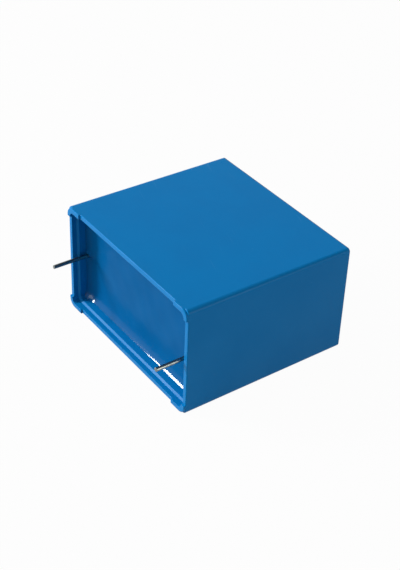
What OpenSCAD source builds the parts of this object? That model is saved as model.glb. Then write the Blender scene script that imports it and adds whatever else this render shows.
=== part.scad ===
// Box film capacitor: a wound element potted in a moulded box, with two round wire leads.
// It lies on one of its large faces. +X runs along the length, from one lead to the other,
// +Y from the board side to the closed end, and +Z up through the thickness.
// The origin is midway between the two leads, in the plane of the four feet.

/* [Box] */
// Height over the board, from the feet to the closed end
box_height = 37.7; // [33:0.1:46]
// Thickness of the box, between its two large faces
box_thickness = 23.85; // [16:0.05:27]
// Wall at the mouth
mouth_wall = 1; // [0.8:0.05:1.1]
// How much thicker the walls are behind the mouth
wall_step = 0.35; // [0.1:0.05:0.45]
// Straight stretch of thin wall, from the rim to the step
step_depth = 1; // [0.4:0.1:2]
// Length of the slope that makes the step
step_slope = 0.4; // [0.1:0.05:0.8]
// Wall of the closed end
end_wall = 1.4; // [0.8:0.1:2.5]
// Rounding of the four long edges
long_edge_r = 1; // [0.6:0.1:1.4]
// Rounding of the edges of the closed end
closed_edge_r = 0.3; // [0.1:0.05:0.5]
// Rounding of the rim's outer edge
rim_edge_r = 0.2; // [0.05:0.05:0.3]
// Rounding of the mouth's inner corners
mouth_corner_r = 1.1; // [0.8:0.1:1.6]

/* [Feet] */
// Height of the corner feet over the rim
foot_height = 0.4; // [0.2:0.05:1]
// Length of a foot's arm along the long walls
foot_long_arm = 4.35; // [2.5:0.05:7]
// Length of a foot's arm along the short walls
foot_short_arm = 2.2; // [2.1:0.05:4]
// Outer corner radius of a foot
foot_corner_r = 1.8; // [1.1:0.1:2]

/* [Potting] */
// Depth of the resin's flat surface, from the plane of the feet
resin_depth = 4.3; // [3.2:0.1:5]
// How far the resin climbs the walls
climb = 1; // [0.3:0.1:1.4]
// Radius of the resin's surface in plan, where two walls meet
climb_corner_r = 2.4; // [1.2:0.1:3]
// Thickness of the resin's edge, where the climb ends
climb_edge = 0.05; // [0.03:0.01:0.1]
// Resin between its surface and the winding
resin_cover = 2; // [1.2:0.1:4]
// Resin between the winding and the large walls
side_gap = 0.8; // [0.4:0.1:1.5]
// Resin between the winding and the closed end
end_gap = 0.8; // [0.4:0.1:1.5]

/* [Winding] */
// Width of the slit that the mandrel leaves at the centre
slit_width = 0.3; // [0.1:0.05:0.8]
// Thickness of the sprayed metal on each end
spray_t = 0.5; // [0.3:0.05:1]

/* [Leads] */
// Distance between the two leads
lead_pitch = 37.5; // [22.5:0.5:52.5]
// Gap between a lead and the end wall of the box
lead_gap = 0.25; // [0.2:0.05:1]
// Diameter of the wire
lead_d = 0.8; // [0.5:0.05:0.85]
// Length of the left lead, past the plane of the feet
left_lead_out = 4.6; // [3:0.1:20]
// Length of the right lead, past the plane of the feet
right_lead_out = 5.1; // [3:0.1:20]
// Length of wire that lies along the sprayed metal
lead_run = 20; // [16:0.5:22]
// How deep the wire is pressed into the sprayed metal
lead_sink = 0.1; // [0.05:0.05:0.2]
// Diameter of a solder joint, where it meets the sprayed metal
joint_d = 3; // [2:0.1:4]
// Solder over the wire
solder_over = 0.1; // [0.05:0.05:0.15]
// Distance between the two solder joints on a lead
joint_pitch = 8; // [5:0.5:12]

/* [Hidden] */
$fn = 96;
case_blue = [0.07, 0.42, 0.68];
resin_blue = [0.05, 0.36, 0.62];
film_silver = [0.78, 0.79, 0.80];
spray_grey = [0.55, 0.56, 0.57];
wire_tin = [0.72, 0.74, 0.70];
solder_grey = [0.62, 0.63, 0.65];

over = 1; // how far a cutter runs past what it cuts
// the end walls stand clear of the leads
box_length = lead_pitch + lead_d + 2 * (lead_gap + wall_step + mouth_wall);
mouth_x = box_length - 2 * mouth_wall;
mouth_z = box_thickness - 2 * mouth_wall;
step_from = foot_height + step_depth;
step_to = step_from + step_slope;
cavity_x = mouth_x - 2 * wall_step;
cavity_z = mouth_z - 2 * wall_step;
cavity_corner_r = mouth_corner_r - wall_step;
cavity_end = box_height - end_wall;

// the winding fills the cavity but for its gaps, and the leads lie on its sprayed ends
roll_t = cavity_z - 2 * side_gap;
roll_from = resin_depth + resin_cover;
roll_to = cavity_end - end_gap;
element_x = lead_pitch - lead_d + 2 * lead_sink;
film_x = element_x - 2 * spray_t;
lead_in = roll_from + lead_run;
// each lead has one joint nearer to the feet and one further in
joint_near = roll_from + (lead_run - joint_pitch) / 2;
joint_far = joint_near + joint_pitch;
joint_h = lead_d - lead_sink + solder_over;
// a solder joint is the cap of a ball of this radius
joint_ball_r = (pow(joint_d / 2, 2) + pow(joint_h, 2)) / (2 * joint_h);

// Runs a shape drawn in x and z along +Y, from y0 to y1.
module along_y(y0, y1) {
    translate([0, y1, 0])
        rotate([90, 0, 0])
            linear_extrude(y1 - y0) children();
}

// Runs a shape drawn in z and y across the length, over w.
module along_x(w) {
    translate([w / 2, 0, 0])
        rotate([0, -90, 0])
            linear_extrude(w) children();
}

// Runs a shape drawn in x and y up through the thickness, over t.
module along_z(t) {
    translate([0, 0, -t / 2])
        linear_extrude(t) children();
}

// A rectangle about the origin with round corners.
module round_rect(w, h, r) {
    square([w - 2 * r, h], center = true);
    square([w, h - 2 * r], center = true);
    for (x = [-1, 1], y = [-1, 1])
        translate([x * (w / 2 - r), y * (h / 2 - r)]) circle(r);
}

// A rectangle w wide from y0 to y1, with corners of radius r0 at y0 and r1 at y1.
module end_profile(w, y0, y1, r0, r1) {
    translate([-w / 2, y0 + r0]) square([w, y1 - r1 - y0 - r0]);
    for (end = [[y0, r0, 1], [y1, r1, -1]])
        if (end[1] > 0) {
            translate([0, end[0] + end[2] * end[1] / 2])
                square([w - 2 * end[1], end[1]], center = true);
            for (x = [-1, 1])
                translate([x * (w / 2 - end[1]), end[0] + end[2] * end[1]]) circle(end[1]);
        }
}

// A block along Y with long edges rounded by r, and its end edges by r0 at y0 and r1 at y1.
module soft_block(wide, thick, y0, y1, r, r0, r1) {
    intersection() {
        along_y(y0, y1) round_rect(wide, thick, r);
        along_z(thick + 2 * over) end_profile(wide, y0, y1, r0, r1);
        along_x(wide + 2 * over) end_profile(thick, y0, y1, r0, r1);
    }
}

// The slope between the mouth and the cavity: each wall leans in by the step,
// and each corner is a cone about the axis that both corner roundings share.
module step_funnel() {
    flat_x = mouth_x - 2 * mouth_corner_r;
    flat_z = mouth_z - 2 * mouth_corner_r;
    along_z(flat_z) funnel_profile(mouth_x, cavity_x);
    along_x(flat_x) funnel_profile(mouth_z, cavity_z);
    for (x = [-1, 1], z = [-1, 1])
        translate([x * flat_x / 2, step_from, z * flat_z / 2])
            rotate([-90, 0, 0])
                cylinder(h = step_slope, r1 = mouth_corner_r, r2 = cavity_corner_r);
}

module funnel_profile(w0, w1) {
    polygon([[-w0 / 2, step_from], [w0 / 2, step_from], [w1 / 2, step_to], [-w1 / 2, step_to]]);
}

// The inside of the box: mouth, step and cavity.
module box_inside() {
    along_y(-over, step_from) round_rect(mouth_x, mouth_z, mouth_corner_r);
    step_funnel();
    along_y(step_to, cavity_end) round_rect(cavity_x, cavity_z, cavity_corner_r);
}

// The four corner feet as one ring, with gaps between the arms.
module feet() {
    difference() {
        soft_block(box_length, box_thickness, 0, foot_height + over, foot_corner_r, rim_edge_r, 0);
        along_x(box_length + 2 * over)
            translate([0, foot_height / 2 - over])
                square([box_thickness - 2 * foot_short_arm, foot_height + 4 * over], center = true);
        along_z(box_thickness + 2 * over)
            translate([0, foot_height / 2 - over])
                square([box_length - 2 * foot_long_arm, foot_height + 4 * over], center = true);
    }
}

// The moulded box, open on the board side.
module case() {
    color(case_blue)
    difference() {
        union() {
            soft_block(box_length, box_thickness, foot_height, box_height,
                long_edge_r, rim_edge_r, closed_edge_r);
            feet();
        }
        box_inside();
    }
}

// The outline of the flattened winding, along its height and thickness.
module roll_outline(y0, y1, t) {
    translate([-t / 2, y0 + t / 2]) square([t, y1 - y0 - t]);
    translate([0, y0 + t / 2]) circle(t / 2);
    translate([0, y1 - t / 2]) circle(t / 2);
}

// The wound element, as one block from sprayed end to sprayed end.
module element() {
    along_x(element_x) roll_outline(roll_from, roll_to, roll_t);
}

// The film itself, with the slit that the mandrel leaves.
module film_winding() {
    color(film_silver)
    difference() {
        along_x(film_x) roll_outline(roll_from, roll_to, roll_t);
        along_x(film_x + 2 * over)
            roll_outline(roll_from + (roll_t - slit_width) / 2, roll_to - (roll_t - slit_width) / 2,
                slit_width);
    }
}

// The pieces at each end are drawn at the left one.
module to_right() {
    mirror([1, 0, 0]) children();
}

// The left lead's round wire, along Y from y0 to y1.
module wire(y0, y1) {
    translate([-lead_pitch / 2, y0, 0])
        rotate([-90, 0, 0])
            cylinder(h = y1 - y0, d = lead_d);
}

// Metal sprayed on the winding's left end, with the groove that its lead is pressed into.
module end_spray() {
    color(spray_grey)
    difference() {
        translate([-(film_x + spray_t) / 2, 0, 0])
            along_x(spray_t) roll_outline(roll_from, roll_to, roll_t);
        wire(roll_from - over, lead_in);
    }
}

module lead(out) {
    color(wire_tin) wire(-out, lead_in);
}

// A round cap of solder on the left sprayed end, at y, without the groove for the wire.
module solder_cap(y) {
    translate([-element_x / 2, y, 0])
        intersection() {
            translate([joint_ball_r - joint_h, 0, 0]) sphere(joint_ball_r);
            translate([-joint_d / 2, 0, 0]) cube([joint_d, 2 * joint_d, 2 * joint_d], center = true);
        }
}

module solder(y) {
    color(solder_grey)
    difference() {
        solder_cap(y);
        wire(roll_from, lead_in);
    }
}

// What the resin leaves room for at the left end.
module left_end() {
    wire(0, lead_in);
    solder_cap(joint_near);
    solder_cap(joint_far);
}

// The space over the resin: flat in the middle, and turned up where the resin climbs the walls.
// In each corner the climb goes round in an arc.
module resin_hollow() {
    hollow_x = cavity_x - 2 * climb_edge;
    hollow_z = cavity_z - 2 * climb_edge;
    flat_x = hollow_x - 2 * climb_corner_r;
    flat_z = hollow_z - 2 * climb_corner_r;
    along_z(flat_z) climb_profile(hollow_x);
    along_x(flat_x) climb_profile(hollow_z);
    for (x = [-1, 1], z = [-1, 1])
        translate([x * flat_x / 2, 0, z * flat_z / 2])
            rotate([-90, 0, 0])
                rotate_extrude()
                    intersection() {
                        climb_profile(2 * climb_corner_r);
                        square([climb_corner_r, resin_depth]);
                    }
}

module climb_profile(w) {
    end_profile(w, foot_height, resin_depth, 0, climb);
}

// The resin that fills the box round the element.
module potting_resin() {
    color(resin_blue)
    difference() {
        along_y(resin_depth - climb, cavity_end)
            round_rect(cavity_x, cavity_z, cavity_corner_r);
        resin_hollow();
        element();
        left_end();
        to_right() left_end();
    }
}

case();
potting_resin();
film_winding();
end_spray();  // end_spray_left
to_right() end_spray();  // end_spray_right
lead(left_lead_out);  // lead_left
to_right() lead(right_lead_out);  // lead_right
solder(joint_near);  // solder_left_near
solder(joint_far);  // solder_left_far
to_right() solder(joint_near);  // solder_right_near
to_right() solder(joint_far);  // solder_right_far
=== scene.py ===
import math

import bpy
import numpy as np
from mathutils import Matrix, Vector


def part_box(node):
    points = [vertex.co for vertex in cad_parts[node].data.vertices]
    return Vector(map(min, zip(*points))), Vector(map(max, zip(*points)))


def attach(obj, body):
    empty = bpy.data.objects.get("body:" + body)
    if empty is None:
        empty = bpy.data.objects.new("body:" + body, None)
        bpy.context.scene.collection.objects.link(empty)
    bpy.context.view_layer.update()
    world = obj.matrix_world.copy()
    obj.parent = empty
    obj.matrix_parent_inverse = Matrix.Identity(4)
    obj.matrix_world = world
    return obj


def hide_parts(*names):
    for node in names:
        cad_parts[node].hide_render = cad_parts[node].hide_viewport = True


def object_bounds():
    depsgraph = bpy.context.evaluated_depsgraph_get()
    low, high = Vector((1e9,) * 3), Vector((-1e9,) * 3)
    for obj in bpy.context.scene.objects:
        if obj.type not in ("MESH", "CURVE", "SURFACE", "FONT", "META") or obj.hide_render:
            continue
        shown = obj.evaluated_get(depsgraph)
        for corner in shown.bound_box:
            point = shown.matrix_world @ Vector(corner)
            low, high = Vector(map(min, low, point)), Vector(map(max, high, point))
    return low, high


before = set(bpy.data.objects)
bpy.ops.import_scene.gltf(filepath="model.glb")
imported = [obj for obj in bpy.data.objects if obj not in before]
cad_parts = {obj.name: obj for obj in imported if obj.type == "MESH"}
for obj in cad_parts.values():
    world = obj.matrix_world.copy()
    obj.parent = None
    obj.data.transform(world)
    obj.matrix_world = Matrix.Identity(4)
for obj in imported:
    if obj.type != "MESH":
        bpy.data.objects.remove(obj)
cadLow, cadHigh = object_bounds()
scene = bpy.context.scene
mm = 0.001
print("stage: frame loaded, box", [round(v / mm, 2) for v in cadHigh - cadLow], "mm")


def shellArrays(rings, startTip, endTip):
    # Rings of points, each joined to the next by quads. Each end closes on its tip point.
    count, around = rings.shape[:2]
    verts = np.vstack([rings.reshape(-1, 3), startTip, endTip])
    grid = np.arange(count * around).reshape(count, around)
    beside = np.roll(grid, -1, axis=1)
    faces = np.stack([grid[:-1], beside[:-1], beside[1:], grid[1:]], axis=-1)
    faces = faces.reshape(-1, 4).tolist()
    for first, second, tip in ((beside[0], grid[0], count * around),
                               (grid[-1], beside[-1], count * around + 1)):
        faces += np.stack([first, second, np.full(around, tip)], axis=-1).tolist()
    return verts, faces


def signedVolume(verts, faces):
    # The sum over all triangles of a third of height times area, seen from the origin.
    tris = np.array([f[:3] for f in faces] + [[f[0], f[2], f[3]] for f in faces if len(f) == 4])
    a, b, c = verts[tris[:, 0]], verts[tris[:, 1]], verts[tris[:, 2]]
    return np.einsum("ij,ij->i", a, np.cross(b, c)).sum() / 6


def facing(shell, outward=True):
    # Turns a shell's faces round where they point the wrong way.
    verts, faces = shell
    if (signedVolume(verts, faces) > 0) != outward:
        faces = [f[::-1] for f in faces]
    return verts, faces


def pieceFromShells(name, shells, material, node):
    # One object of one or more closed shells, given in mm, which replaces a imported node.
    verts, faces, start = [], [], 0
    for shellVerts, shellFaces in shells:
        verts.append(shellVerts)
        faces += [[i + start for i in f] for f in shellFaces]
        start += len(shellVerts)
    mesh = bpy.data.meshes.new(name)
    mesh.from_pydata((np.vstack(verts) * mm).tolist(), [], faces)
    mesh.update()
    mesh.shade_smooth()
    mesh.materials.append(material)
    piece = bpy.data.objects.new(name, mesh)
    scene.collection.objects.link(piece)
    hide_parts(node)
    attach(piece, "root")
    print("stage:", name, len(mesh.vertices), "points,", len(mesh.polygons), "faces")


class Outline:
    # Rounded rectangles that all go round in the same steps: along the straight walls at the
    # same places, and round each corner by the same angles about one centre.
    tiny = 1e-9

    def __init__(self, centre, alongZ, alongX, cornerSteps):
        self.centre = centre
        self.alongZ, self.alongX = np.asarray(alongZ), np.asarray(alongX)
        self.angles = np.radians(np.linspace(0, 90, cornerSteps))

    def reach(self, halfX, halfZ, radius):
        # How far out a rounded rectangle is, at each step of a quarter: its half width on the
        # straight parts, and the length of the ray from the centre in the corner, which ends on
        # a side or on the circle of the rounding, whichever it meets.
        a, b = halfX - self.centre[0], halfZ - self.centre[1]
        c = np.maximum(np.cos(self.angles), self.tiny)
        s = np.maximum(np.sin(self.angles), self.tiny)
        p, q = a - radius, b - radius
        along = p * c + q * s
        onArc = along + np.sqrt(np.maximum(radius ** 2 - (p * p + q * q - along ** 2), 0))
        ray = np.where(a * s / c <= q, a / c, np.where(b * c / s <= p, b / s, onArc))
        return np.concatenate([np.full(len(self.alongZ), halfX), ray,
                               np.full(len(self.alongX), halfZ)])

    def ring(self, reach, y):
        # A quarter and its three mirror images, as one closed ring.
        nz, na = len(self.alongZ), len(self.angles)
        ray = reach[nz:nz + na]
        x = np.concatenate([reach[:nz], self.centre[0] + ray * np.cos(self.angles), self.alongX])
        z = np.concatenate([self.alongZ, self.centre[1] + ray * np.sin(self.angles),
                            reach[nz + na:]])
        one = np.stack([x, np.broadcast_to(y, x.shape), z], axis=-1)
        back = one[::-1]
        flipX, flipZ = np.array([-1, 1, 1]), np.array([1, 1, -1])
        return np.vstack([one, back[1:] * flipX, one[1:] * flipX * flipZ, back[1:-1] * flipZ])


def smooth(t):
    # From 0 to 1 with a level start and end: three t squared minus two t cubed.
    t = np.clip(t, 0, 1)
    return t * t * (3 - 2 * t)


def newGroup(name, inputs, outputs):
    group = bpy.data.node_groups.new(name, "ShaderNodeTree")
    for label, kind, value in inputs:
        socket = group.interface.new_socket(label, in_out="INPUT", socket_type=kind)
        socket.default_value = value
    for label, kind in outputs:
        group.interface.new_socket(label, in_out="OUTPUT", socket_type=kind)
    return group, group.nodes.new("NodeGroupInput"), group.nodes.new("NodeGroupOutput")


def fill(tree, socket, value):
    if isinstance(value, bpy.types.NodeSocket):
        tree.links.new(value, socket)
    else:
        socket.default_value = value


def put(tree, kind, settings=None, **inputs):
    # Adds a node, sets its settings, and fills its inputs with values or links. An input goes by
    # its label, with _ for a space, or by its number, as at0.
    node = tree.nodes.new(kind)
    for key, value in (settings or {}).items():
        setattr(node, key, value)
    for key, value in inputs.items():
        fill(tree, node.inputs[int(key[2:]) if key.startswith("at") else key.replace("_", " ")],
             value)
    return node


def maths(tree, operation, first, second=0.0, third=0.0):
    return put(tree, "ShaderNodeMath", dict(operation=operation),
               at0=first, at1=second, at2=third).outputs[0]


def spread(tree, value, fromLow, fromHigh, toLow=0.0, toHigh=1.0):
    return put(tree, "ShaderNodeMapRange", dict(interpolation_type="SMOOTHSTEP"), Value=value,
               at1=fromLow, at2=fromHigh, at3=toLow, at4=toHigh).outputs[0]


def blendColor(tree, factor, first, second):
    return put(tree, "ShaderNodeMix", dict(data_type="RGBA"),
               at0=factor, at6=first, at7=second).outputs[2]


def objectPlace(tree):
    return put(tree, "ShaderNodeTexCoord").outputs["Object"]


mottleSet = dict(detail=4.0, roughness=0.55, fadeFrom=0.3, fadeTo=0.7)


def mottleGroup():
    # Slow drift between two colours, and the mask of it.
    group, start, end = newGroup(
        "slowMottle",
        [("Color", "NodeSocketColor", (0.5, 0.5, 0.5, 1)),
         ("Other Color", "NodeSocketColor", (0.4, 0.4, 0.4, 1)),
         ("Size", "NodeSocketFloat", 0.01), ("Amount", "NodeSocketFloat", 0.5)],
        [("Color", "NodeSocketColor"), ("Mask", "NodeSocketFloat")])
    s = mottleSet
    noise = put(group, "ShaderNodeTexNoise", Vector=objectPlace(group),
                Scale=maths(group, "DIVIDE", 1.0, start.outputs["Size"]),
                Detail=s["detail"], Roughness=s["roughness"])
    mask = spread(group, noise.outputs["Fac"], s["fadeFrom"], s["fadeTo"])
    mask = maths(group, "MULTIPLY", mask, start.outputs["Amount"])
    color = blendColor(group, mask, start.outputs["Color"], start.outputs["Other Color"])
    group.links.new(color, end.inputs["Color"])
    group.links.new(mask, end.inputs["Mask"])
    return group


grainSet = dict(fineDetail=3.0, fineRoughness=0.6, waveDetail=1.0, waveRoughness=0.4)


def grainGroup():
    # The fine skin of a surface: two sizes of bumps, as a height.
    group, start, end = newGroup(
        "fineGrain",
        [("Size", "NodeSocketFloat", 0.0003), ("Wave Size", "NodeSocketFloat", 0.004),
         ("Wave Share", "NodeSocketFloat", 0.5)],
        [("Height", "NodeSocketFloat")])
    s = grainSet
    place = objectPlace(group)
    fine = put(group, "ShaderNodeTexNoise", Vector=place,
               Scale=maths(group, "DIVIDE", 1.0, start.outputs["Size"]),
               Detail=s["fineDetail"], Roughness=s["fineRoughness"])
    wave = put(group, "ShaderNodeTexNoise", Vector=place,
               Scale=maths(group, "DIVIDE", 1.0, start.outputs["Wave Size"]),
               Detail=s["waveDetail"], Roughness=s["waveRoughness"])
    share = start.outputs["Wave Share"]
    height = maths(group, "MULTIPLY", wave.outputs["Fac"], share)
    fineShare = maths(group, "SUBTRACT", 1.0, share)
    height = maths(group, "MULTIPLY_ADD", fine.outputs["Fac"], fineShare, height)
    group.links.new(height, end.inputs["Height"])
    return group


speckSet = dict(randomness=1.0, smallest=0.4, sizeSpread=0.6, softFrom=1.0, softTo=0.5)


def speckGroup():
    # Small round spots, such as dust or pits: 1 in a spot and 0 around it.
    group, start, end = newGroup(
        "smallSpecks",
        [("Spacing", "NodeSocketFloat", 0.002), ("Radius", "NodeSocketFloat", 0.15),
         ("Share", "NodeSocketFloat", 0.3)],
        [("Mask", "NodeSocketFloat")])
    s = speckSet
    cells = put(group, "ShaderNodeTexVoronoi", Vector=objectPlace(group),
                Scale=maths(group, "DIVIDE", 1.0, start.outputs["Spacing"]),
                Randomness=s["randomness"])
    split = put(group, "ShaderNodeSeparateColor", Color=cells.outputs["Color"])
    chosen = maths(group, "LESS_THAN", split.outputs[0], start.outputs["Share"])
    size = maths(group, "MULTIPLY_ADD", split.outputs[1], s["sizeSpread"], s["smallest"])
    radius = maths(group, "MULTIPLY", start.outputs["Radius"], size)
    near = maths(group, "DIVIDE", cells.outputs["Distance"], radius)
    spot = spread(group, near, s["softFrom"], s["softTo"])
    group.links.new(maths(group, "MULTIPLY", spot, chosen), end.inputs["Mask"])
    return group


scratchSet = dict(detail=2.0, roughness=0.5, lineFrom=0.66, lineTo=0.74,
                  patchScale=180.0, patchDetail=1.0, patchFrom=0.5, patchTo=0.62)


def scratchGroup():
    # Hair-fine marks that run mostly one way and lie in patches, as a mask.
    group, start, end = newGroup(
        "hairScratches",
        [("Stretch", "NodeSocketVector", (60.0, 1500.0, 1500.0)),
         ("Turn", "NodeSocketVector", (0.0, 0.0, 0.3)), ("Share", "NodeSocketFloat", 0.2)],
        [("Mask", "NodeSocketFloat")])
    s = scratchSet
    place = objectPlace(group)
    turned = put(group, "ShaderNodeVectorRotate", dict(rotation_type="EULER_XYZ"),
                 Vector=place, Rotation=start.outputs["Turn"])
    longWay = put(group, "ShaderNodeVectorMath", dict(operation="MULTIPLY"),
                  at0=turned.outputs[0], at1=start.outputs["Stretch"])
    lines = put(group, "ShaderNodeTexNoise", Vector=longWay.outputs[0], Scale=1.0,
                Detail=s["detail"], Roughness=s["roughness"])
    fine = spread(group, lines.outputs["Fac"], s["lineFrom"], s["lineTo"])
    where = put(group, "ShaderNodeTexNoise", Vector=place, Scale=s["patchScale"],
                Detail=s["patchDetail"])
    patch = spread(group, where.outputs["Fac"], s["patchFrom"], s["patchTo"])
    mask = maths(group, "MULTIPLY", maths(group, "MULTIPLY", fine, patch), start.outputs["Share"])
    group.links.new(mask, end.inputs["Mask"])
    return group


groups = dict(mottle=mottleGroup(), grain=grainGroup(), specks=speckGroup(),
              scratches=scratchGroup())


def useGroup(tree, name, **inputs):
    return put(tree, "ShaderNodeGroup", dict(node_tree=groups[name]), **inputs)


def newMaterial(name):
    material = bpy.data.materials.new(name)
    material.use_nodes = True
    tree = material.node_tree
    return material, tree, tree.nodes["Principled BSDF"]


def mottled(tree, look):
    return useGroup(tree, "mottle", Color=look["color"], Other_Color=look["otherColor"],
                    Size=look["mottleSize"], Amount=look["mottleAmount"])


def specks(tree, look):
    spots = useGroup(tree, "specks", Spacing=look["speckSpacing"], Radius=look["speckRadius"],
                     Share=look["speckShare"])
    return spots.outputs["Mask"]


def overlay(tree, mask, amount, under, color):
    return blendColor(tree, maths(tree, "MULTIPLY", mask, amount), under, color)


def grainHeight(tree, look):
    grain = useGroup(tree, "grain", Size=look["grainSize"], Wave_Size=look["waveSize"],
                     Wave_Share=look["waveShare"])
    return grain.outputs["Height"]


def addBump(tree, shader, height, depth):
    bump = put(tree, "ShaderNodeBump", Height=height, Distance=depth, Strength=1.0)
    tree.links.new(bump.outputs["Normal"], shader.inputs["Normal"])


plasticLook = dict(
    color=(0.001, 0.176, 0.460, 1), otherColor=(0.001, 0.165, 0.44, 1),
    mottleSize=0.009, mottleAmount=0.8, roughness=(0.30, 0.37), gloss=0.08,
    speckSpacing=0.0017, speckRadius=0.07, speckShare=0.22,
    dustColor=(0.25, 0.45, 0.62, 1), dustAmount=0.12,
    scuffColor=(0.12, 0.32, 0.55, 1), scuffShare=0.35, scuffAmount=0.25,
    scuffRoughness=0.25, scuffHeight=-0.15,
    grainSize=0.00022, waveSize=0.0035, waveShare=0.6, depth=0.000010)


def casePlastic():
    look = plasticLook
    material, tree, shader = newMaterial("casePlastic")
    drift = mottled(tree, look)
    scuffs = useGroup(tree, "scratches", Share=look["scuffShare"]).outputs["Mask"]
    dusty = overlay(tree, specks(tree, look), look["dustAmount"], drift.outputs["Color"],
                    look["dustColor"])
    color = overlay(tree, scuffs, look["scuffAmount"], dusty, look["scuffColor"])
    tree.links.new(color, shader.inputs["Base Color"])
    rough = spread(tree, drift.outputs["Mask"], 0, 1, *look["roughness"])
    rough = maths(tree, "MULTIPLY_ADD", scuffs, look["scuffRoughness"], rough)
    tree.links.new(rough, shader.inputs["Roughness"])
    shader.inputs["Specular IOR Level"].default_value = look["gloss"]
    height = maths(tree, "MULTIPLY_ADD", scuffs, look["scuffHeight"], grainHeight(tree, look))
    addBump(tree, shader, height, look["depth"])
    return material


resinLook = dict(
    color=(0.002, 0.098, 0.275, 1), otherColor=(0.001, 0.090, 0.26, 1),
    mottleSize=0.006, mottleAmount=1.0, roughness=(0.14, 0.19), gloss=0.012,
    speckSpacing=0.0026, speckRadius=0.06, speckShare=0.35,
    # the darker colour of the pits, and how much of it: painted shade in each pit
    pitShadeColor=(0.0, 0.05, 0.2, 1), pitShadeAmount=0.35, pitHeight=-0.25,
    wetEdge=0.0016, wetFull=0.4, wetGloss=0.30, wetRoughness=0.04,
    grainSize=0.0009, waveSize=0.005, waveShare=0.93, depth=0.00004)


def pottingResin():
    look = resinLook
    material, tree, shader = newMaterial("pottingResin")
    drift = mottled(tree, look)
    pits = specks(tree, look)
    # each pit is painted darker, which is painted shade in it; the bump below dents it for real
    color = overlay(tree, pits, look["pitShadeAmount"], drift.outputs["Color"], look["pitShadeColor"])
    tree.links.new(color, shader.inputs["Base Color"])
    rough = spread(tree, drift.outputs["Mask"], 0, 1, *look["roughness"])
    tree.links.new(rough, shader.inputs["Roughness"])
    shader.inputs["Specular IOR Level"].default_value = look["gloss"]
    # the edge that climbs the long walls is glossier than the flat
    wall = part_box("potting_resin")[1].z
    across = put(tree, "ShaderNodeSeparateXYZ", Vector=objectPlace(tree)).outputs[2]
    fromWall = maths(tree, "SUBTRACT", wall, maths(tree, "ABSOLUTE", across))
    coat = spread(tree, fromWall, look["wetEdge"], look["wetEdge"] * look["wetFull"],
                  0.0, look["wetGloss"])
    tree.links.new(coat, shader.inputs["Coat Weight"])
    shader.inputs["Coat Roughness"].default_value = look["wetRoughness"]
    height = maths(tree, "MULTIPLY_ADD", pits, look["pitHeight"], grainHeight(tree, look))
    addBump(tree, shader, height, look["depth"])
    return material


wireLook = dict(
    color=(0.27, 0.29, 0.26, 1), otherColor=(0.16, 0.185, 0.19, 1),
    mottleSize=0.0014, mottleAmount=0.9, roughness=(0.22, 0.36), metallic=1.0,
    drawnColor=(0.42, 0.44, 0.41, 1), drawnStretch=(5200.0, 220.0, 5200.0),
    drawnTurn=(0.0, 0.0, 0.0), drawnShare=0.9, drawnAmount=0.5, drawnHeight=-0.3,
    grainSize=0.00015, waveSize=0.0009, waveShare=0.6, depth=0.00001)


def tinnedWire():
    look = wireLook
    material, tree, shader = newMaterial("tinnedWire")
    drift = mottled(tree, look)
    drawn = useGroup(tree, "scratches", Stretch=look["drawnStretch"], Turn=look["drawnTurn"],
                     Share=look["drawnShare"]).outputs["Mask"]
    color = overlay(tree, drawn, look["drawnAmount"], drift.outputs["Color"], look["drawnColor"])
    tree.links.new(color, shader.inputs["Base Color"])
    rough = spread(tree, drift.outputs["Mask"], 0, 1, *look["roughness"])
    tree.links.new(rough, shader.inputs["Roughness"])
    shader.inputs["Metallic"].default_value = look["metallic"]
    height = maths(tree, "MULTIPLY_ADD", drawn, look["drawnHeight"], grainHeight(tree, look))
    addBump(tree, shader, height, look["depth"])
    return material


filmLook = dict(
    color=(0.80, 0.81, 0.83, 1), otherColor=(0.68, 0.70, 0.74, 1),
    mottleSize=0.004, mottleAmount=0.9, roughness=(0.18, 0.3), metallic=0.9,
    turnColor=(0.45, 0.47, 0.50, 1), turnsPerMetre=26000.0, turnAmount=0.3, turnHeight=0.05,
    grainSize=0.0004, waveSize=0.006, waveShare=0.8, depth=0.00004)


def metallisedFilm():
    # The turns show as fine lines at equal distances from the winding's middle line.
    look = filmLook
    material, tree, shader = newMaterial("metallisedFilm")
    low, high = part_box("film_winding")
    middle, reach = (low.y + high.y) / 2, (high.y - low.y) / 2 - (high.z - low.z) / 2
    split = put(tree, "ShaderNodeSeparateXYZ", Vector=objectPlace(tree))
    along = maths(tree, "ABSOLUTE", maths(tree, "SUBTRACT", split.outputs[1], middle))
    beyond = maths(tree, "MAXIMUM", maths(tree, "SUBTRACT", along, reach), 0.0)
    flat = put(tree, "ShaderNodeCombineXYZ", X=beyond, Y=split.outputs[2])
    away = put(tree, "ShaderNodeVectorMath", dict(operation="LENGTH"), at0=flat.outputs[0])
    phase = maths(tree, "MULTIPLY", away.outputs["Value"], look["turnsPerMetre"])
    turns = maths(tree, "SINE", phase)
    drift = mottled(tree, look)
    color = blendColor(tree, spread(tree, turns, -1, 1, 0.0, look["turnAmount"]),
                       drift.outputs["Color"], look["turnColor"])
    tree.links.new(color, shader.inputs["Base Color"])
    shader.inputs["Metallic"].default_value = look["metallic"]
    rough = spread(tree, drift.outputs["Mask"], 0, 1, *look["roughness"])
    tree.links.new(rough, shader.inputs["Roughness"])
    height = maths(tree, "MULTIPLY_ADD", turns, look["turnHeight"], grainHeight(tree, look))
    addBump(tree, shader, height, look["depth"])
    return material


sprayLook = dict(
    color=(0.52, 0.53, 0.54, 1), otherColor=(0.40, 0.41, 0.43, 1),
    mottleSize=0.0012, mottleAmount=1.0, roughness=(0.55, 0.75), metallic=0.75,
    speckSpacing=0.00045, speckRadius=0.3, speckShare=0.7,
    spotColor=(0.64, 0.65, 0.66, 1), spotAmount=0.4, spotHeight=0.5,
    grainSize=0.00012, waveSize=0.0006, waveShare=0.45, depth=0.00008)

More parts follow.
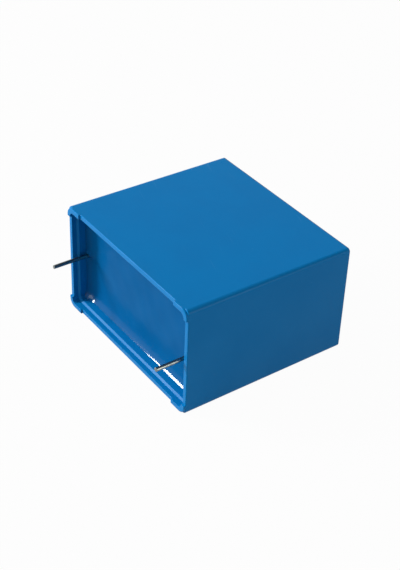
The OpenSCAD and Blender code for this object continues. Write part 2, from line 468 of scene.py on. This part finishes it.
solderLook = dict(
    color=(0.66, 0.67, 0.69, 1), otherColor=(0.52, 0.53, 0.56, 1),
    mottleSize=0.0007, mottleAmount=0.9, roughness=(0.2, 0.42), metallic=1.0,
    speckSpacing=0.0003, speckRadius=0.3, speckShare=0.4,
    spotColor=(0.78, 0.79, 0.80, 1), spotAmount=0.3, spotHeight=0.0,
    grainSize=0.0001, waveSize=0.0008, waveShare=0.7, depth=0.00003)


def spottedMetal(name, look):
    # Metal with small spots: the drops of a sprayed layer, or the frost on solder.
    material, tree, shader = newMaterial(name)
    drift = mottled(tree, look)
    spots = specks(tree, look)
    color = overlay(tree, spots, look["spotAmount"], drift.outputs["Color"], look["spotColor"])
    tree.links.new(color, shader.inputs["Base Color"])
    shader.inputs["Metallic"].default_value = look["metallic"]
    rough = spread(tree, drift.outputs["Mask"], 0, 1, *look["roughness"])
    tree.links.new(rough, shader.inputs["Roughness"])
    height = maths(tree, "MULTIPLY_ADD", spots, look["spotHeight"], grainHeight(tree, look))
    addBump(tree, shader, height, look["depth"])
    return material


looks = dict(plastic=casePlastic(), resin=pottingResin(), wire=tinnedWire(),
             film=metallisedFilm(), spray=spottedMetal("sprayedMetal", sprayLook),
             solder=spottedMetal("brightSolder", solderLook))
print("stage: materials made")


# The moulded case, in mm. Its y values count from the plane of the feet.
caseShape = dict(
    rimAt=0.4, wall=1.0, step=0.35, stepFrom=1.4, stepTo=1.8, cavityEnd=36.3,
    draft=0.35, longEdge=1.0, closedEdge=0.3, rimEdge=0.2, innerEdge=0.06, stepEdge=0.06,
    mouthCorner=1.1, footLong=4.35, footShort=2.2, footCorner=1.8, footEnd=0.05)

# Where the rings and points of its mesh lie.
caseMesh = dict(
    arcSteps=5, cornerSteps=37, shortSteps=12, longSteps=18, footSteps=5, wallRings=20,
    footEnds=(-2, -1, -0.6, -0.2, 0.2, 0.6, 1, 2), beforeFoot=0.3, afterFoot=0.4,
    beforeCorner=0.05, underClosed=(0.08, 0.15), overRim=0.05, ledge=(0.004, 0.03),
    creep=0.015, rimShares=(0.12, 0.5, 0.88), mouthFrom=0.1, mouthShares=(0.3, 0.6, 0.9),
    afterStep=0.3, cavityRings=(2.6, 3.4, 4.6), beforeEnd=(0.2, 0.01),
    capShares=(0.05, 0.2, 0.4, 0.6, 0.8, 0.93, 0.985, 0.997),
    floorShares=(0.999, 0.9, 0.5, 0.1), floorDrop=0.01)


def caseShell():
    # One closed skin: from the middle of the closed end over the outside, round the rim and
    # the feet, and down the inside to the cavity's end.
    s, m = caseShape, caseMesh
    halfX, closedEnd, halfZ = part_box("case")[1] / mm
    rim, footMiddle = s["rimAt"], s["rimAt"] / 2
    lean = math.tan(math.radians(s["draft"]))
    inFromWall = s["wall"] + s["mouthCorner"]
    centre = (halfX - inFromWall, halfZ - inFromWall)
    ends = s["footEnd"] * np.array(m["footEnds"])
    footZ, footX = halfZ - s["footShort"], halfX - s["footLong"]
    alongZ = np.sort(np.concatenate([
        np.linspace(0, footZ - m["beforeFoot"], m["shortSteps"]), footZ + ends[:-1]]))
    alongX = np.sort(np.concatenate([
        np.linspace(0, footX - m["beforeFoot"], m["longSteps"]), footX + ends,
        np.linspace(footX + m["afterFoot"], centre[0] - m["beforeCorner"], m["footSteps"])]))[::-1]
    outline = Outline(centre, alongZ, alongX, m["cornerSteps"])
    # 1 on the feet, 0 between them, with a soft change over the end of each arm
    foot = np.concatenate([smooth((alongZ - footZ) / (2 * s["footEnd"]) + 0.5),
                           np.ones(m["cornerSteps"]),
                           smooth((alongX - footX) / (2 * s["footEnd"]) + 0.5)])
    turn = np.radians(np.linspace(0, 90, m["arcSteps"] + 1))
    rings = []

    def outer(y, inset=0.0, radius=s["longEdge"]):
        # The outer wall leans in by y times the tangent of the draft, and so does the radius
        # of its corners, which makes each one a cone.
        back = y * lean + inset
        return outline.reach(halfX - back, halfZ - back, radius - back)

    def inner(depth, radius):
        return outline.reach(halfX - depth, halfZ - depth, radius)

    def add(reach, y):
        rings.append(outline.ring(reach, y))

    # the closed end, rounded into the outer wall
    edge = s["closedEdge"]
    for t in turn:
        add(outer(closedEnd, edge * (1 - np.sin(t))), closedEnd - edge * (1 - np.cos(t)))
    # the outer wall, down to the rim
    wallTop = closedEnd - s["rimEdge"]
    wallRings = np.linspace(wallTop - m["underClosed"][1], rim + s["rimEdge"] + m["overRim"],
                            m["wallRings"])
    for y in [wallTop - m["underClosed"][0], *wallRings]:
        add(outer(y), y)
    # the rim's outer edge, which the wall of each foot covers where it stands further out
    edge = s["rimEdge"]
    footWall = outer(footMiddle, 0.0, s["footCorner"])
    for t in turn:
        between = outer(rim, edge * (1 - np.cos(t)))
        add(between + foot * (np.maximum(between, footWall) - between),
            rim + edge * (1 - np.sin(t)))
    # the ledge at each foot's corner, the foot's wall and its rounded edge; between the feet
    # the same rings lie on the rim, each a little further in
    drop = [rim - m["ledge"][0], rim - m["ledge"][1], edge + m["ledge"][1],
            *(edge * (1 - np.sin(turn)))]
    inset = [0, 0, 0, *(edge * (1 - np.cos(turn)))]
    for k, (y, back) in enumerate(zip(drop, inset)):
        flat = outer(rim, edge + m["creep"] * (k + 1))
        raised = outer(footMiddle, back, s["footCorner"])
        add(flat + foot * (raised - flat), rim + foot * (y - rim))
    # the rim's face and its inner edge
    top = rim * (1 - foot)
    flat = outer(rim, edge + m["creep"] * (len(drop) + 1))
    raised = outer(footMiddle, edge, s["footCorner"])
    start = flat + foot * (raised - flat)
    mouth, edge = inner(s["wall"], s["mouthCorner"]), s["innerEdge"]
    for share in m["rimShares"]:
        add(start + share * (mouth + edge - start), top)
    for t in turn:
        add(mouth + edge * (1 - np.sin(t)), top + edge * (1 - np.cos(t)))
    # the mouth, the slope of the step and the cavity
    bend = s["stepEdge"]
    add(mouth, rim + m["mouthFrom"])
    for share in m["mouthShares"]:
        add(mouth, rim + share * (s["stepFrom"] - bend - rim))
    cavity = inner(s["wall"] + s["step"], s["mouthCorner"] - s["step"])
    rise = s["stepTo"] - s["stepFrom"]
    run = np.hypot(s["step"], rise)
    for at in (-bend, -bend / 2, bend / 2, bend,
               run - bend, run - bend / 2, run + bend / 2, run + bend):
        on = np.clip(at / run, 0, 1)
        add(mouth + on * (cavity - mouth),
            s["stepFrom"] + on * rise + min(at, 0) + max(at - run, 0))
    for y in (s["stepTo"] + m["afterStep"], *m["cavityRings"],
              *(s["cavityEnd"] - back for back in m["beforeEnd"])):
        add(cavity, y)
    # the closed end's own face and the cavity's end close on the middle line
    cap = [rings[0] * [k, 1, k] for k in m["capShares"]]
    floor = [rings[-1] * [k, 1, k] + [0, m["floorDrop"], 0] for k in m["floorShares"]]
    return facing(shellArrays(np.array(cap + rings + floor), (0, closedEnd, 0),
                              (0, s["cavityEnd"], 0)))


pieceFromShells("caseMoulding", [caseShell()], looks["plastic"], "case")


# The cast resin, in mm, with the room in it for the wound element.
resinShape = dict(
    depth=4.3, climb=1.05, reach=0.95, cornerRound=0.75, wireClimb=0.55, wireReach=0.35,
    wireAt=18.75, wireRadius=0.4, gapToCase=0.004, ripple=0.035, rippleFade=3,
    elementX=36.9, elementFrom=6.3, elementTo=35.5, elementHalf=9.775)

# Each wave has its turn per mm along x, along z, or both, and where it starts.
rippleWaves = dict(broadX=(0.31, 0.9), broadZ=(0.42, 0.4), slant=(0.67, -0.53, 2),
                   slantShare=0.6, small=(1.3, 0.8, 1), smallShare=0.35)

# Where the rings and points of its mesh lie.
resinMesh = dict(
    cornerIn=3.4, margin=0.1, wireSteps=(1.6, 17), shortFrom=1.8, shortSteps=18, longSteps=44,
    cornerSteps=41, roundGrowth=0.9, roundLimit=3.3,
    edgeRings=(0, 0.02, 0.05, 0.1, 0.16, 0.24, 0.33, 0.43, 0.54, 0.66, 0.8, 0.96, 1.15, 1.4,
               1.7, 2.1, 2.6),
    flatShares=(0.95, 0.04, 22), beforeEnd=(0.01, 0.1), lastWallRing=5.2,
    floorShares=(0.1, 0.5, 0.9, 0.999), elementArc=33, elementRings=9)


def ripple(x, z, height):
    # Slow unevenness that is left as the resin cures: a sum of a few long waves.
    w = rippleWaves
    wave = np.sin(w["broadX"][0] * x + w["broadX"][1])
    wave = wave * np.sin(w["broadZ"][0] * z + w["broadZ"][1])
    for key in ("slant", "small"):
        turnX, turnZ, start = w[key]
        wave = wave + w[key + "Share"] * np.sin(turnX * x + turnZ * z + start)
    return height * wave


def resinSurface(x, z, halfX, halfZ):
    # The resin climbs each wall by the climb times e to the power of minus the distance over
    # the reach, the two walls of a corner add up, and it climbs each wire in the same way.
    s = resinShape
    fromX, fromZ = np.maximum(halfX - np.abs(x), 0), np.maximum(halfZ - np.abs(z), 0)
    rise = s["climb"] * (np.exp(-fromX / s["reach"]) + np.exp(-fromZ / s["reach"]))
    fromWire = np.maximum(np.hypot(np.abs(x) - s["wireAt"], z) - s["wireRadius"], 0)
    rise = rise + s["wireClimb"] * np.exp(-fromWire / s["wireReach"])
    inner = smooth(np.minimum(fromX, fromZ) / s["rippleFade"])
    return s["depth"] - rise + inner * ripple(x, z, s["ripple"])


def elementRoom():
    # A bar along x with half-round edges, open to the inside of the resin.
    s, m = resinShape, resinMesh
    t = np.radians(np.linspace(0, 180, m["elementArc"]))
    half, halfLength = s["elementHalf"], s["elementX"] / 2
    y = np.concatenate([s["elementTo"] - half + half * np.sin(t),
                        s["elementFrom"] + half - half * np.sin(t)])
    z = np.concatenate([half * np.cos(t), -half * np.cos(t)])
    bar = np.array([np.stack([np.full(len(y), x), y, z], axis=-1)
                    for x in np.linspace(-halfLength, halfLength, m["elementRings"])])
    middleY = (s["elementFrom"] + s["elementTo"]) / 2
    return facing(shellArrays(bar, (-halfLength, middleY, 0), (halfLength, middleY, 0)),
                  outward=False)


def resinShells():
    s, m = resinShape, resinMesh
    halfX, end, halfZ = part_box("potting_resin")[1] / mm
    clear = s["gapToCase"]
    centre = (halfX - m["cornerIn"], halfZ - m["cornerIn"])
    alongZ = np.concatenate([
        np.linspace(0, *m["wireSteps"]),
        np.linspace(m["shortFrom"], centre[1] - m["margin"], m["shortSteps"])])
    alongX = np.linspace(centre[0] - m["margin"], 0, m["longSteps"])
    outline = Outline(centre, alongZ, alongX, m["cornerSteps"])

    def around(back):
        radius = min(s["cornerRound"] + m["roundGrowth"] * back, m["roundLimit"] - back)
        return outline.reach(halfX - clear - back, halfZ - clear - back, radius)

    def onSurface(ring):
        ring[:, 1] = resinSurface(ring[:, 0], ring[:, 2], halfX, halfZ)
        return ring

    surface = [onSurface(outline.ring(around(back), 0.0)) for back in m["edgeRings"]]
    last = surface[-1]
    surface += [onSurface(last * [k, 1, k]) for k in np.linspace(*m["flatShares"])]
    wall = around(0)
    floor = [outline.ring(wall, end) * [k, 1, k] for k in m["floorShares"]]
    sides = [outline.ring(wall, end - back) for back in m["beforeEnd"]]
    sides.append(outline.ring(wall, m["lastWallRing"]))
    middle = (0, float(resinSurface(0.0, 0.0, halfX, halfZ)), 0)
    rings = np.array(floor + sides + surface)
    return [facing(shellArrays(rings, (0, end, 0), middle)), elementRoom()]


pieceFromShells("resinFill", resinShells(), looks["resin"], "potting_resin")


# The wires, in mm. The turn of a cut is the way that its askew end faces, in radians. Each wave
# of the dents has its count round the wire, its turn per mm along it, and where it starts.
wireShape = dict(radius=0.4, endRound=0.07, endTilt=0.09, tiltReach=0.6, dent=0.006,
                 dentWaves=((2, 1.7, 0), (3, -2.3, 1)), cutTurns=dict(Left=2.2, Right=0.6))

# Where the rings and points of their meshes lie.
wireMesh = dict(around=40, arcSteps=5, tipShares=(0.3, 0.7), openRings=(0.12, 4.4, 30),
                innerFrom=5, innerRings=24)


def wireShell(node, cutTurn):
    # A round bar along y. Its outer end is cut a little askew, with a small rounding, its inner
    # end is flat, and faint dents go round it: the radius less a small sum of two sine waves.
    low, high = (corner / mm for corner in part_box(node))
    s, m = wireShape, wireMesh
    middleX, middleZ = (low.x + high.x) / 2, (low.z + high.z) / 2
    radius, edge = s["radius"], s["endRound"]
    t = np.linspace(0, 2 * np.pi, m["around"], endpoint=False)
    turn = np.radians(np.linspace(0, 90, m["arcSteps"] + 1))
    places = [0.0 for share in m["tipShares"]] + list(edge * (1 - np.cos(turn)))
    radii = [share * radius for share in m["tipShares"]] + list(radius - edge + edge * np.sin(turn))
    straight = [*np.linspace(*m["openRings"]),
                *np.linspace(m["innerFrom"], high.y - low.y, m["innerRings"])]
    rings = []
    for y, wide in zip(places + straight, radii + [radius] * len(straight)):
        tilt = s["endTilt"] * max(0.0, 1 - y / s["tiltReach"])
        skew = tilt * (1 + wide / radius * np.cos(t - cutTurn)) / 2
        waves = [np.sin(count * t + rate * y + start) for count, rate, start in s["dentWaves"]]
        dents = s["dent"] * sum(waves) / len(waves)
        width = wide - np.abs(dents) * wide / radius
        rings.append(np.stack([middleX + width * np.cos(t), low.y + y + skew,
                               middleZ + width * np.sin(t)], axis=-1))
    tipY = low.y + s["endTilt"] / 2
    return facing(shellArrays(np.array(rings), (middleX, tipY, middleZ),
                              (middleX, high.y, middleZ)))


for side, cutTurn in wireShape["cutTurns"].items():
    node = "lead_" + side.lower()
    pieceFromShells("wire" + side, [wireShell(node, cutTurn)], looks["wire"], node)


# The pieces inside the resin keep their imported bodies.
insideLooks = dict(film_winding="film", end_spray_left="spray", end_spray_right="spray",
                   solder_left_near="solder", solder_left_far="solder",
                   solder_right_near="solder", solder_right_far="solder")
for node, look in insideLooks.items():
    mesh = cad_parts[node].data
    mesh.materials.clear()
    mesh.materials.append(looks[look])
print("stage: pieces inside finished")


stageLook = dict(floorSize=8.0, floorGap=0.00002, floorColor=(0.42, 0.42, 0.42, 1),
                 floorRoughness=0.9, floorGloss=0.1, floorShown=0.97,
                 roomColor=(1, 1, 1, 1), roomLight=0.33,
                 wallLight=1.0, ceiling=0.30, ceilingFrom=0.25, ceilingTo=0.5)


def shownRays(tree):
    # 1 for what the camera, a mirror or glass sees.
    path = put(tree, "ShaderNodeLightPath").outputs
    seen = maths(tree, "MAXIMUM", path["Is Camera Ray"], path["Is Glossy Ray"])
    return maths(tree, "MAXIMUM", seen, path["Is Transmission Ray"])


def mixInto(tree, outputName, factor, first, second):
    mix = put(tree, "ShaderNodeMixShader", at0=factor, at1=first.outputs[0],
              at2=second.outputs[0])
    tree.links.new(mix.outputs[0], tree.nodes[outputName].inputs["Surface"])


def makeFloor():
    # Pale paper that the part lies on. It is shown nearly white and lights the part as grey.
    look = stageLook
    bottom, half = cadLow.z - look["floorGap"], look["floorSize"] / 2
    mesh = bpy.data.meshes.new("studioFloor")
    corners = [(-half, -half, bottom), (half, -half, bottom), (half, half, bottom),
               (-half, half, bottom)]
    mesh.from_pydata(corners, [], [(0, 1, 2, 3)])
    floor = bpy.data.objects.new("studioFloor", mesh)
    scene.collection.objects.link(floor)
    material, tree, shader = newMaterial("palePaper")
    shader.inputs["Base Color"].default_value = look["floorColor"]
    shader.inputs["Roughness"].default_value = look["floorRoughness"]
    shader.inputs["Specular IOR Level"].default_value = look["floorGloss"]
    glow = put(tree, "ShaderNodeEmission", Strength=1.0)
    factor = maths(tree, "MULTIPLY", shownRays(tree), look["floorShown"])
    mixInto(tree, "Material Output", factor, shader, glow)
    mesh.materials.append(material)


def makeWorld():
    # An even room. Its walls are seen white, and its ceiling dim.
    look = stageLook
    world = bpy.data.worlds.new("softRoom")
    scene.world = world
    world.use_nodes = True
    tree = world.node_tree
    room = tree.nodes["Background"]
    room.inputs["Color"].default_value = look["roomColor"]
    room.inputs["Strength"].default_value = look["roomLight"]
    way = put(tree, "ShaderNodeTexCoord").outputs["Generated"]
    height = put(tree, "ShaderNodeSeparateXYZ", Vector=way).outputs[2]
    level = spread(tree, height, look["ceilingFrom"], look["ceilingTo"],
                   look["wallLight"], look["ceiling"])
    walls = put(tree, "ShaderNodeBackground", Color=look["roomColor"], Strength=level)
    mixInto(tree, "World Output", shownRays(tree), room, walls)


# Places and sizes in metres, from the middle of the part, and power in watts.
lamps = dict(
    key=dict(at=(-0.46, -0.46, 0.36), wide=0.05, tall=0.50, power=6.3),
    front=dict(at=(-0.20, -0.70, 0.18), wide=0.4, tall=0.3, power=1.7),
    side=dict(at=(0.65, 0.30, 0.16), wide=0.35, tall=0.2, power=1.15))


def makeLamp(name, at, wide, tall, power):
    # Each lamp is a soft box that looks at the middle of the part, with its tall sides square
    # to x.
    data = bpy.data.lights.new(name, "AREA")
    data.shape, data.size, data.size_y, data.energy = "RECTANGLE", wide, tall, power
    lamp = bpy.data.objects.new(name, data)
    scene.collection.objects.link(lamp)
    away = Vector(at).normalized()
    upright = Vector((1, 0, 0)).cross(away).normalized()
    if upright.z < 0:
        upright.negate()
    lamp.matrix_world = Matrix.LocRotScale(
        (cadLow + cadHigh) / 2 + Vector(at),
        Matrix((upright.cross(away), upright, away)).transposed(), None)


makeFloor()
makeWorld()
for name, lamp in lamps.items():
    makeLamp(name + "Light", **lamp)
print("stage: floor and light set")


cameraSet = dict(aim=(0.000259, 0.017627, -0.001302), azimuth=53.6515, elevation=35.6387,
                 roll=2.3698, distance=0.245875, lens=78.615, sensor=36, clip=(0.01, 20))


def makeCamera():
    # Azimuth goes round from the side of -y towards +x, and elevation up from level.
    c = cameraSet
    az, el, roll = (math.radians(c[key]) for key in ("azimuth", "elevation", "roll"))
    back = Vector((math.sin(az) * math.cos(el), -math.cos(az) * math.cos(el), math.sin(el)))
    level = Vector((math.cos(az), math.sin(az), 0))
    upright = back.cross(level)
    right = math.cos(roll) * level + math.sin(roll) * upright
    up = back.cross(right)
    data = bpy.data.cameras.new("camera")
    data.lens, data.sensor_width = c["lens"], c["sensor"]
    data.clip_start, data.clip_end = c["clip"]
    camera = bpy.data.objects.new("camera", data)
    scene.collection.objects.link(camera)
    camera.matrix_world = Matrix.LocRotScale(
        Vector(c["aim"]) + c["distance"] * back,
        Matrix((right, up, back)).transposed(), None)
    scene.camera = camera


makeCamera()
scene.view_settings.view_transform = "Standard"
print("stage: camera set")
